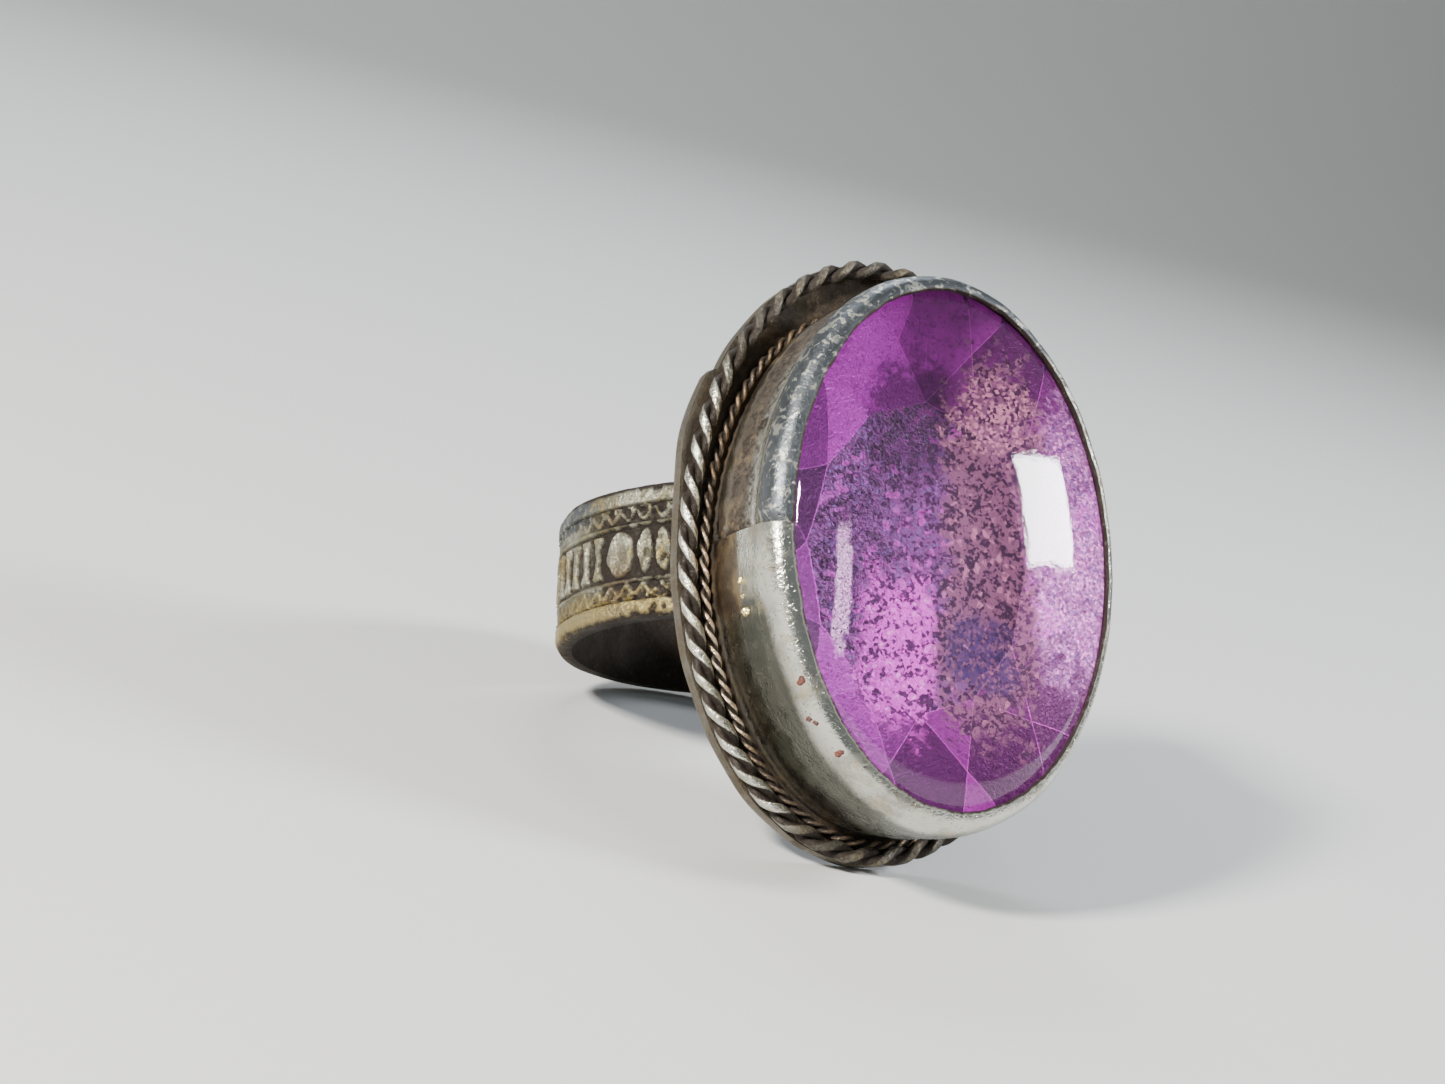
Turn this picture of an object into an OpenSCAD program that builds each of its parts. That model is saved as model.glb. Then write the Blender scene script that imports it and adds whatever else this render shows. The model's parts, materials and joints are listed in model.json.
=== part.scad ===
// Large oval finger ring: a patterned band, a base plate edged with twisted wire,
// and a wrapped bezel that holds a foil-backed buff-top glass stone.
//
// Every module draws the ring as it is worn: the finger axis is Z, the stone faces -Y and the
// origin is the middle of the finger bore. at_rest() leans the finished piece back until it
// stands on the lower edge of its base plate and on the back of its band.
// The head is drawn lying flat: X across the finger, Y along it and Z out through the stone.

/* [Band] */
// Inside diameter of the band
bore_d = 18.8; // [16:0.1:22]
// Thickness of the band at its smooth borders
band_t = 0.9; // [0.8:0.05:1.4]
// Width of the band along the finger
band_w = 6.7; // [6:0.1:9]
// Number of raised figures round the band
figure_count = 60; // [40:2:72]
// Depth of the sunk rows behind the figures
row_depth = 0.25; // [0.1:0.05:0.35]
// How far the middle of the band lies above the middle of the stone
band_shift = 1.3; // [0:0.1:2]

/* [Base plate] */
// Width over the twisted rim wire
rim_w = 21.8; // [21.4:0.1:23]
// Length over the twisted rim wire
rim_l = 30.3; // [30:0.1:32]
// Thickness of the plate
plate_t = 0.6; // [0.5:0.05:1]
// How far the middle of the plate lies above the middle of the stone
rim_shift = 0.9; // [0:0.1:1]
// How far the plate is turned in its own plane against the stone
rim_turn = -4; // [-5:0.5:0]

/* [Stone and bezel] */
// Width of the oval opening in the bezel
stone_w = 17.6; // [17:0.1:17.8]
// Length of the oval opening in the bezel
stone_l = 25; // [24.6:0.1:25.2]
// Height of the bezel above the plate
bezel_h = 7.35; // [7:0.05:8]
// Thickness of the bezel strip
bezel_t = 0.32; // [0.25:0.01:0.4]
// Rise of the domed top above the stone's girdle
dome_h = 2.8; // [2:0.1:3.5]
// Depth of the faceted back below the girdle
back_h = 3.3; // [2.5:0.1:3.5]
// Number of main facets round the back
facet_count = 12; // [12:2:20]
// Share of the stone's width that the flat at its back takes
table_share = 0.56; // [0.4:0.01:0.6]

/* [Wires] */
// Diameter of the two-strand rim wire
rim_wire_d = 1; // [0.8:0.05:1.1]
// Turns of the rim wire round the plate
rim_turns = 25; // [20:1:32]
// Diameter of the two-strand foot wire
foot_wire_d = 0.5; // [0.4:0.05:0.5]
// Turns of the foot wire round the bezel
foot_turns = 45; // [40:1:60]

/* [Hidden] */

bore_r = bore_d / 2;
band_r = bore_r + band_t;
clearance = 0.03;

rim_half = [rim_w / 2, rim_l / 2];
rim_path_half = [for (half = rim_half) half - rim_wire_d / 2];
plate_half = [for (half = rim_half) half - 0.12];
opening_half = [stone_w / 2, stone_l / 2];
foot_path_half = [for (half = opening_half) half + 0.62];

// The stone's girdle, which is hidden under the lip.
girdle_half = [for (half = opening_half) half + 0.25];
girdle_t = 0.5;
girdle_top = plate_t + bezel_h - 1.05;
girdle_base = girdle_top - girdle_t;

// Angle that tips the ring back onto the foot of its plate and the back of its band.
plate_foot = rim_shift - band_shift - norm([plate_half.y * cos(rim_turn), plate_half.x * sin(rim_turn)]);
band_foot = -band_w / 2;
lean = atan2(band_foot - plate_foot, 2 * band_r);

// ---------------------------------------------------------------- placing

module at_rest() {
  rotate([-lean, 0, 0]) children();
}

module on_head() {
  at_rest()
    translate([0, -band_r, -band_shift])
      rotate([90, 0, 0]) children();
}

module on_plate() {
  on_head() translate([0, rim_shift, 0]) rotate([0, 0, rim_turn]) children();
}

// ---------------------------------------------------------------- shapes

function oval_point(half, a) = [half.x * cos(a), half.y * sin(a)];

function oval(half, count = 96) = [for (i = [0:count - 1]) oval_point(half, 360 * i / count)];

function smooth(u) = let (v = min(max(u, 0), 1)) v * v * (3 - 2 * v);

// Faces that join rings of count points each, one after another, into a wall.
function wall_faces(rings, count, closed) = [
  for (r = [0:rings - (closed ? 1 : 2)], k = [0:count - 1])
    let (
      next_r = (r + 1) % rings,
      next_k = (k + 1) % count,
      a = r * count + k,
      b = r * count + next_k,
      c = next_r * count + next_k,
      d = next_r * count + k
    )
    each [[a, b, c], [a, c, d]]
];

// Length along an oval up to each of its sample points.
function oval_lengths(half, count) = [
  for (i = 0, s = 0; i <= count;
       s = s + norm(oval_point(half, 360 * (i + 1) / count) - oval_point(half, 360 * i / count)),
       i = i + 1) s
];

// One strand of a two-strand twisted wire that runs round an oval at the given height.
module oval_strand(half, height, wire_d, turns, phase, rings_per_turn, sides = 6) {
  count = turns * rings_per_turn;
  lengths = oval_lengths(half, count);
  strand_r = wire_d / 4;
  points = [
    for (i = [0:count - 1])
      let (
        a = 360 * i / count,
        centre = oval_point(half, a),
        out = oval_point([half.y, half.x], a) / norm(oval_point([half.y, half.x], a)),
        twist = phase + 360 * turns * lengths[i] / lengths[count]
      )
      for (k = [0:sides - 1])
        let (
          side = twist + 360 * k / sides,
          off = strand_r * [cos(twist), sin(twist)] + (strand_r - clearance / 2) * [cos(side), sin(side)]
        )
        [centre.x + off.x * out.x, centre.y + off.x * out.y, height + off.y]
  ];
  polyhedron(points, wall_faces(count, sides, true));
}

// ---------------------------------------------------------------- band

row_h = 0.39 * band_w;
strip_h = 0.12 * band_w;
groove_h = 0.03 * band_w;
edge_bevel = 0.2;

module band_groove(z, height, depth) {
  translate([0, 0, z - height / 2])
    difference() {
      cylinder(r = band_r + 1, h = height, $fn = 96);
      cylinder(r = band_r - depth, h = height, $fn = 96);
    }
}

module band_body() {
  rotate_extrude($fn = 96)
    polygon([
      [bore_r, -band_w / 2],
      [band_r - edge_bevel, -band_w / 2],
      [band_r, -band_w / 2 + edge_bevel],
      [band_r, band_w / 2 - edge_bevel],
      [band_r - edge_bevel, band_w / 2],
      [bore_r, band_w / 2]
    ]);
}

module band_figures() {
  sunk_r = band_r - row_depth;
  figure_w = 0.5 * 2 * PI * band_r / figure_count;
  for (i = [0:figure_count - 1])
    rotate([0, 0, 360 * (i + 0.5) / figure_count])
      translate([sunk_r - 0.1, -figure_w / 2, -0.42 * row_h])
        cube([row_depth + 0.06, figure_w, 0.84 * row_h]);
}

module shank_band() {
  strip_z = row_h / 2 + groove_h + strip_h / 2;
  color("darkkhaki")
    at_rest() {
      difference() {
        band_body();
        band_groove(0, row_h, row_depth);
        for (side = [-1, 1]) {
          band_groove(side * (strip_z - strip_h / 2), groove_h, row_depth / 2);
          band_groove(side * (strip_z + strip_h / 2), groove_h, row_depth / 2);
        }
      }
      band_figures();
    }
}

// Solder that fills the wedges between the round band and the flat plate.
module shank_solder() {
  inner = 0.8;
  outer = 3.2;
  color("goldenrod")
    at_rest()
      for (side = [0, 1])
        mirror([side, 0, 0])
          difference() {
            translate([inner, -band_r, -0.46 * band_w]) cube([outer - inner, 0.7, 0.92 * band_w]);
            translate([0, 0, -band_w / 2]) cylinder(r = band_r + clearance / 2, h = band_w, $fn = 360);
            translate([outer + 0.3, clearance - band_r + 0.75, -band_w / 2])
              cylinder(r = 0.7, h = band_w, $fn = 120);
          }
}

// ---------------------------------------------------------------- plate and wires

lug_from = 150;
lug_to = 172;
lug_reach = 0.6;

// The plate, with a length of its edge left untrimmed beyond the rim wire.
module base_plate() {
  lug_half = [for (half = plate_half) half + lug_reach];
  color("dimgray")
    on_plate()
      linear_extrude(height = plate_t)
        union() {
          polygon(oval(plate_half));
          polygon([
            [0, 0],
            for (i = [0:8]) oval_point(lug_half, lug_from + (lug_to - lug_from) * i / 8)
          ]);
        }
}

module rim_wire(phase) {
  color("silver")
    on_plate()
      oval_strand(rim_path_half, plate_t + rim_wire_d / 2, rim_wire_d, rim_turns, phase, 10);
}

module rim_wire_a() {
  rim_wire(0);
}

module rim_wire_b() {
  rim_wire(180);
}

module foot_wire(phase) {
  color("tan")
    on_head()
      oval_strand(foot_path_half, plate_t + foot_wire_d / 2, foot_wire_d, foot_turns, phase, 6, 4);
}

module foot_wire_a() {
  foot_wire(0);
}

module foot_wire_b() {
  foot_wire(180);
}

// ---------------------------------------------------------------- bezel

seam_angle = 180;
lap_angle = 14;
lap_ramp = 5;

// How far the strip's outer face stands outside the opening, and at what share of its height.
bezel_outline = [
  [0.1, 0], [0.14, 0.09], [0.45, 0.18], [0.66, 0.27], [0.62, 0.38], [0.44, 0.52],
  [0.5, 0.65], [0.78, 0.75], [0.88, 0.84], [0.74, 0.93], [0.4, 0.985], [0, 1]
];

// The same outline, moved in by the strip's thickness at right angles to it.
function outline_normal(i) =
  let (
    last = len(bezel_outline) - 1,
    a = bezel_outline[max(i - 1, 0)],
    b = bezel_outline[min(i + 1, last)],
    run = [b.x - a.x, (b.y - a.y) * bezel_h]
  )
  [run.y, -run.x] / norm(run);

function outline_point(i, inset) =
  [bezel_outline[i].x, bezel_outline[i].y * bezel_h] - inset * outline_normal(i);

// One flat section across the strip at angle a, with its faces inset by the given amounts.
function strip_section(a, outer_inset, inner_inset) =
  let (last = len(bezel_outline) - 1)
  [
    for (i = [0:last]) strip_point(a, outline_point(i, outer_inset)),
    for (i = [last:-1:0]) strip_point(a, outline_point(i, inner_inset))
  ];

function strip_point(a, p) =
  let (spot = oval_point([for (half = opening_half) half + p.x], a))
  [spot.x, spot.y, plate_t + max(p.y, 0)];

// The strip goes once round the stone, and its last stretch laps over its thinned start.
module bezel_strip() {
  steps = 74;
  sweep = 360 + lap_angle;
  count = 2 * len(bezel_outline);
  sections = [
    for (i = [0:steps])
      let (
        u = sweep * i / steps,
        under = 1 - smooth((u - lap_angle) / lap_ramp),
        over = smooth((u - 360 + lap_ramp) / lap_ramp)
      )
      strip_section(
        seam_angle + sweep - u,
        under * (bezel_t / 2 + clearance) - over * 0.08,
        bezel_t - over * bezel_t / 2
      )
  ];
  caps = [
    [for (k = [count - 1:-1:0]) k],
    [for (k = [0:count - 1]) steps * count + k]
  ];
  color("lightgray")
    on_head()
      polyhedron(
        [for (section = sections) each section],
        concat(wall_faces(steps + 1, count, false), caps)
      );
}

// Beads of solder left in the neck of the bezel, a little way below its seam.
module seam_solder() {
  bead_r = 0.2;
  neck = bezel_outline[5];
  bead_half = [for (half = opening_half) half + neck.x + bead_r + 0.11];
  color("gold")
    on_head()
      for (step = [0:2]) {
        spot = oval_point(bead_half, seam_angle + 10 + 3.2 * step);
        translate([spot.x, spot.y, plate_t + neck.y * bezel_h]) sphere(r = bead_r, $fn = 24);
      }
}

// ---------------------------------------------------------------- stone, foil and bed

facet_step = 360 / facet_count;
girdle_count = 4 * facet_count;
kite_share = 0.78;

// Height of the kites' side corners that keeps each kite flat.
kite_drop = back_h * (1 - kite_share * cos(facet_step / 2)) / (1 - table_share);

function stone_ring(share, height, count, first = 0) = [
  for (i = [0:count - 1])
    let (spot = oval_point(girdle_half, first + 360 * i / count))
    [share * spot.x, share * spot.y, height]
];

// The two inner rings of the faceted back: the kites' corners and the flat at the back.
function back_rings(drop) = concat(
  stone_ring(kite_share, girdle_base - kite_drop - drop, facet_count, facet_step / 2),
  stone_ring(table_share, girdle_base - back_h - drop, facet_count)
);

// Facets from a girdle ring that starts at point g to the two rings that start at point b.
function back_faces(g, b) = [
  for (j = [0:facet_count - 1])
    let (
      before = b + (j + facet_count - 1) % facet_count,
      corner = b + j,
      flat_corner = b + facet_count + j,
      flat_next = b + facet_count + (j + 1) % facet_count
    )
    each concat(
      [[g + 4 * j, before, flat_corner], [g + 4 * j, flat_corner, corner], [flat_corner, flat_next, corner]],
      [for (q = [0:3]) [g + 4 * j + q, corner, g + (4 * j + q + 1) % girdle_count]]
    )
];

function flat_face(b) = [for (j = [facet_count - 1:-1:0]) b + facet_count + j];

function flip(faces) = [for (face = faces) [for (k = [len(face) - 1:-1:0]) face[k]]];

module glass_stone() {
  dome_steps = 8;
  dome = [
    for (k = [dome_steps - 1:-1:0])
      each stone_ring(cos(90 * k / dome_steps), girdle_top + dome_h * sin(90 * k / dome_steps), girdle_count)
  ];
  base = len(dome);
  points = concat(dome, stone_ring(1, girdle_base, girdle_count), back_rings(0));
  inner = base + girdle_count;
  top = [for (k = [girdle_count - 1:-1:0]) k];
  color("mediumorchid")
    on_head()
      polyhedron(
        points,
        concat(
          [top],
          wall_faces(dome_steps + 1, girdle_count, false),
          flip(back_faces(base, inner)),
          flip([flat_face(inner)])
        )
      );
}

// A thin metal leaf that follows the faceted back a hair's breadth below it.
module foil_backing() {
  gap = 0.04;
  leaf_t = 0.08;
  upper = concat(stone_ring(1, girdle_base - gap, girdle_count), back_rings(gap));
  lower = concat(stone_ring(1, girdle_base - gap - leaf_t, girdle_count), back_rings(gap + leaf_t));
  second = len(upper);
  rim = [
    for (k = [0:girdle_count - 1])
      let (next = (k + 1) % girdle_count)
      each [[k, next, second + next], [k, second + next, second + k]]
  ];
  color("plum")
    on_head()
      polyhedron(
        concat(upper, lower),
        concat(
          back_faces(0, girdle_count),
          [flat_face(girdle_count)],
          rim,
          flip(back_faces(second, second + girdle_count)),
          flip([flat_face(second + girdle_count)])
        )
      );
}

// Lac pressed in under the foil, so that the stone sits on it and not on the bezel's wall.
module setting_bed() {
  bed_share = 0.92;
  drop = 0.16;
  upper = concat(
    stone_ring(bed_share, girdle_base - 0.9, girdle_count),
    back_rings(drop)
  );
  lower = len(upper);
  foot = [for (k = [0:girdle_count - 1]) lower + k];
  wall = [
    for (k = [0:girdle_count - 1])
      let (next = (k + 1) % girdle_count)
      each [[k, next, lower + next], [k, lower + next, lower + k]]
  ];
  color("saddlebrown")
    on_head()
      polyhedron(
        concat(upper, stone_ring(bed_share, plate_t, girdle_count)),
        concat(back_faces(0, girdle_count), [flat_face(girdle_count)], wall, [foot])
      );
}

shank_band();
base_plate();
rim_wire_a();
rim_wire_b();
foot_wire_a();
foot_wire_b();
bezel_strip();
glass_stone();
foil_backing();
setting_bed();
shank_solder();
seam_solder();
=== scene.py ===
"""Looks of a large oval finger ring with a foil-backed purple glass stone.

The ring's pieces are drawn in millimetres, either round the finger bore or on the flat head, and
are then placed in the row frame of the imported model, whose finger bore sits at the origin.
"""

import json
import logging
import math
from collections.abc import Callable, Sequence
from dataclasses import dataclass, field
from enum import Enum
from functools import partialmethod

import bmesh
import bpy
from bmesh.types import BMesh
from bpy.types import Material
from mathutils import Matrix, Vector, noise


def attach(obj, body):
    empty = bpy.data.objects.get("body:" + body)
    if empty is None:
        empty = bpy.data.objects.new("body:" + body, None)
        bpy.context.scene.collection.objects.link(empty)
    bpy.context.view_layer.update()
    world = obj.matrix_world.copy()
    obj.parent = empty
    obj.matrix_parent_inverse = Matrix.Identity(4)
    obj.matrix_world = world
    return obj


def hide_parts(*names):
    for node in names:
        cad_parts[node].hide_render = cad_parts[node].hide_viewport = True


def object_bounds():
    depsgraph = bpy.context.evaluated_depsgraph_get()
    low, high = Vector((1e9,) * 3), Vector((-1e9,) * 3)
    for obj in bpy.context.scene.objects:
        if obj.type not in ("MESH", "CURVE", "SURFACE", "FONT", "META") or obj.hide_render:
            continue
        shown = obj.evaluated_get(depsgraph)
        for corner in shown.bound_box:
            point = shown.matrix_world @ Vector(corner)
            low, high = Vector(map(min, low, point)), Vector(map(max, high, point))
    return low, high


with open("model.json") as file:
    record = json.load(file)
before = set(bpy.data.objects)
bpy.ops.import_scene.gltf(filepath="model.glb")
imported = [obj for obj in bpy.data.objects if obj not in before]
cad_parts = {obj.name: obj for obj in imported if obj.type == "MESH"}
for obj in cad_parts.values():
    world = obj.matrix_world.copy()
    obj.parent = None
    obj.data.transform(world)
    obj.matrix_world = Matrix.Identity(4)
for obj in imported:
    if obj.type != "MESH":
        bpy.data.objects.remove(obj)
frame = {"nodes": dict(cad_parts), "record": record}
cad_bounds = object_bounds()

MM = 0.001
BODY = "root"
Pair = tuple[float, float]
Colour = tuple[float, float, float]
GridPoint = tuple[Vector, tuple[float, ...]]
log = logging.getLogger("ring")


# --- curves and noise


def smooth(u: float) -> float:
    """Eases from 0 at u = 0 to 1 at u = 1."""
    v = min(max(u, 0.0), 1.0)
    return v * v * (3.0 - 2.0 * v)


def ridge(distance: float, half: float, slope: float) -> float:
    """1 within half of a line and 0 beyond it, with an eased slope of that width."""
    return 1.0 - smooth((abs(distance) - half) / slope)


def wobble(spot: Vector, per_mm: float, seed: float) -> float:
    """Smooth noise from about -1 to 1 at a spot in millimetres, so many waves to the millimetre."""
    return noise.noise(spot * per_mm + Vector((seed, 2.0 * seed, -seed)))


def oval_spot(half: Pair, angle: float) -> Vector:
    """The point of an oval at a parameter angle in radians."""
    return Vector((half[0] * math.cos(angle), half[1] * math.sin(angle), 0.0))


def oval_out(half: Pair, angle: float) -> Vector:
    """The oval's outward direction at a parameter angle in radians."""
    return Vector((half[1] * math.cos(angle), half[0] * math.sin(angle), 0.0)).normalized()


def through(points: Sequence[Pair], share: float) -> Vector:
    """A point on the smooth curve through some points.

    Args:
        points: the points, in order.
        share: how far along the curve, from 0 to 1.

    Returns:
        The point, with its third coordinate 0.
    """
    last = len(points) - 1
    place = min(max(share, 0.0), 1.0) * last
    first = min(int(place), last - 1)
    t = place - first
    a, b, c, d = (Vector(points[min(max(first + k, 0), last)]) for k in (-1, 0, 1, 2))
    bend = 2 * b + (c - a) * t + (2 * a - 5 * b + 4 * c - d) * t**2 + (3 * b - a - 3 * c + d) * t**3
    return (bend / 2).to_3d()


# --- placing


@dataclass(frozen=True)
class Placing:
    """Where the band and the head lie in the row frame."""

    band_r: float
    band_shift: float
    rim_shift: float
    rim_turn: float
    axis: Vector

    def band(self) -> Matrix:
        """From millimetres round the finger bore, the finger along Z and the stone towards -Y."""
        lean = math.atan2(self.axis.y, self.axis.z)
        return Matrix.Rotation(-lean, 4, "X") @ Matrix.Scale(MM, 4)

    def head(self) -> Matrix:
        """From millimetres on the flat head: X across, Y along the finger and Z out of the stone."""
        seat = Matrix.Translation((0.0, -self.band_r, -self.band_shift))
        return self.band() @ seat @ Matrix.Rotation(math.radians(90), 4, "X")

    def plate(self) -> Matrix:
        """As head, but in the base plate's own directions."""
        shift = Matrix.Translation((0.0, self.rim_shift, 0.0))
        return self.head() @ shift @ Matrix.Rotation(math.radians(self.rim_turn), 4, "Z")


# --- meshes


@dataclass
class BentGrid:
    """A grid of faces that is bent into shape point by point.

    place takes a point's two counts and returns its place in millimetres and its marks, which the
    finishes read. A closed side's last row falls on its first.
    """

    count_u: int
    count_v: int
    place: Callable[[int, int], GridPoint]
    marks: tuple[str, ...] = ("relief", "soil_and_shade")

    def build(self) -> BMesh:
        """Bends the grid, joins the rows that meet and turns its faces outwards."""
        bm = bmesh.new()
        bmesh.ops.create_grid(bm, x_segments=self.count_u, y_segments=self.count_v, size=0.5)
        layers = [bm.verts.layers.float.new(mark) for mark in self.marks]
        for vert in bm.verts:
            i = round((vert.co.x + 0.5) * self.count_u)
            k = round((vert.co.y + 0.5) * self.count_v)
            vert.co, marks = self.place(i, k)
            for layer, mark in zip(layers, marks):
                vert[layer] = mark
        bmesh.ops.remove_doubles(bm, verts=bm.verts, dist=1e-4)
        open_edges = [edge for edge in bm.edges if edge.is_boundary]
        if open_edges:
            bmesh.ops.holes_fill(bm, edges=open_edges, sides=0)
        bmesh.ops.recalc_face_normals(bm, faces=bm.faces)
        for face in bm.faces:
            face.smooth = True
        return bm


def add_object(name: str, data: bpy.types.ID) -> bpy.types.Object:
    """Adds an object to the scene."""
    made = bpy.data.objects.new(name, data)
    bpy.context.scene.collection.objects.link(made)
    return made


def add_mesh(name: str, bm: BMesh, materials: Sequence[Material]) -> bpy.types.Object:
    """Adds a mesh object made of a mesh that is then freed."""
    mesh = bpy.data.meshes.new(name)
    bm.to_mesh(mesh)
    bm.free()
    for material in materials:
        mesh.materials.append(material)
    return add_object(name, mesh)


def finish_piece(
    bm: BMesh,
    name: str,
    to_row: Matrix,
    materials: Sequence[Material],
    nodes: Sequence[str] = (),
    sharp_degrees: float = 40.0,
) -> None:
    """Makes a ring's piece of a mesh in millimetres and gives it to the frame.

    Args:
        bm: the mesh, which is freed.
        name: the piece's name.
        to_row: the matrix from the mesh's millimetres to the row frame.
        materials: its materials, in the order of the faces' material numbers.
        nodes: the CAD nodes that it stands for.
        sharp_degrees: an edge that bends by more than this stays crisp.
    """
    bm.transform(to_row)
    piece = add_mesh(name, bm, materials)
    piece.data.set_sharp_from_angle(angle=math.radians(sharp_degrees))
    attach(piece, BODY)
    if nodes:
        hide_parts(*nodes)
    log.info("%s: %d faces", name, len(piece.data.polygons))


# --- shader graph


class Value:
    """A number in a node tree, with Python's operators."""

    def __init__(self, graph: "Graph", socket: bpy.types.NodeSocket) -> None:
        """Wraps a socket of a graph."""
        self.graph = graph
        self.socket = socket

    def _math(self, operation: str, other: "Value | float", turned: bool = False) -> "Value":
        """A Math node on this value and another, or on the other one first."""
        terms = (other, self) if turned else (self, other)
        return self.graph.node("Math", {"operation": operation}, dict(enumerate(terms)))[0]

    __add__ = partialmethod(_math, "ADD")
    __radd__ = partialmethod(_math, "ADD", turned=True)
    __sub__ = partialmethod(_math, "SUBTRACT")
    __rsub__ = partialmethod(_math, "SUBTRACT", turned=True)
    __mul__ = partialmethod(_math, "MULTIPLY")
    __rmul__ = partialmethod(_math, "MULTIPLY", turned=True)

    def step(self, low: float, high: float) -> "Value":
        """Eases from 0 where it is low to 1 where it is high."""
        inputs = {"Value": self, "From Min": low, "From Max": high}
        return self.graph.node("MapRange", {"interpolation_type": "SMOOTHSTEP"}, inputs)[0]


class Graph:
    """The node tree of one material, with the few nodes that the ring's finishes share."""

    def __init__(self, name: str) -> None:
        """Starts a material with an empty tree and millimetre coordinates."""
        self.material = bpy.data.materials.new(name)
        self.material.use_nodes = True
        self.tree = self.material.node_tree
        self.tree.nodes.clear()
        self.spot = self.mapped(Matrix.Scale(MM, 4))

    def node(self, kind: str, settings: dict | None = None, inputs: dict | None = None) -> list[Value]:
        """Adds a node.

        Args:
            kind: the node's type, without the ShaderNode that it starts with.
            settings: its properties, set first.
            inputs: values or links for its sockets, by name or number.

        Returns:
            Its outputs.
        """
        made = self.tree.nodes.new("ShaderNode" + kind)
        for key, value in (settings or {}).items():
            setattr(made, key, value)
        for key, value in (inputs or {}).items():
            if isinstance(value, Value):
                self.tree.links.new(value.socket, made.inputs[key])
            else:
                made.inputs[key].default_value = value
        return [Value(self, socket) for socket in made.outputs]

    def mapped(self, to_row: Matrix) -> Value:
        """Object coordinates in millimetres, in the directions that a placing matrix starts from."""
        inputs = {
            "Vector": self.node("TexCoord")[3],
            "Location": tuple(to_row.translation),
            "Rotation": tuple(to_row.to_euler()),
            "Scale": tuple(to_row.to_scale()),
        }
        return self.node("Mapping", {"vector_type": "TEXTURE"}, inputs)[0]

    def noise(self, per_mm: float, detail: float = 3.0, warp: float = 0.0) -> Value:
        """Cloudy noise from 0 to 1, so many waves to the millimetre."""
        inputs = {"Vector": self.spot, "Scale": per_mm, "Detail": detail, "Distortion": warp}
        return self.node("TexNoise", None, inputs)[0]

    def vector(self, operation: str, *terms: "Value | Colour") -> list[Value]:
        """The result of a Vector Math node, as a vector and as a number."""
        return self.node("VectorMath", {"operation": operation}, dict(enumerate(terms)))

    def cells(self, per_mm: float) -> list[Value]:
        """A cell pattern's distance and colour, so many cells to the millimetre."""
        return self.node("TexVoronoi", None, {"Vector": self.spot, "Scale": per_mm})

    def shards(self, per_mm: float) -> list[Value]:
        """Three numbers from 0 to 1 that differ from cell to cell."""
        return self.node("SeparateXYZ", None, {0: self.cells(per_mm)[1]})

    def attribute(self, name: str) -> Value:
        """A number that the mesh holds."""
        return self.node("Attribute", {"attribute_name": name})[2]

    def mix(self, first: "Value | Colour", second: "Value | Colour", share: "Value | float") -> Value:
        """A blend of two colours, all of the second where share is 1."""
        colours = [c if isinstance(c, Value) else (*c, 1.0) for c in (first, second)]
        inputs = {0: share, 6: colours[0], 7: colours[1]}
        return self.node("Mix", {"data_type": "RGBA"}, inputs)[2]

    def bump(self, height: Value, millimetres: float, below: Value | None = None) -> Value:
        """A normal for a height from 0 to 1 that stands for so many millimetres."""
        inputs = {"Height": height, "Distance": millimetres * MM, "Strength": 1.0}
        if below:
            inputs["Normal"] = below
        return self.node("Bump", None, inputs)[0]

    def surface(self, settings: dict) -> Value:
        """A Principled shader."""
        return self.node("BsdfPrincipled", None, settings)[0]

    def output(self, shader: Value) -> Material:
        """Ends the tree with a shader and returns the material."""
        self.node("OutputMaterial", None, {"Surface": shader})
        return self.material

    def finish(self, settings: dict) -> Material:
        """Ends the tree with a Principled shader and returns the material."""
        return self.output(self.surface(settings))


# --- finishes


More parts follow.
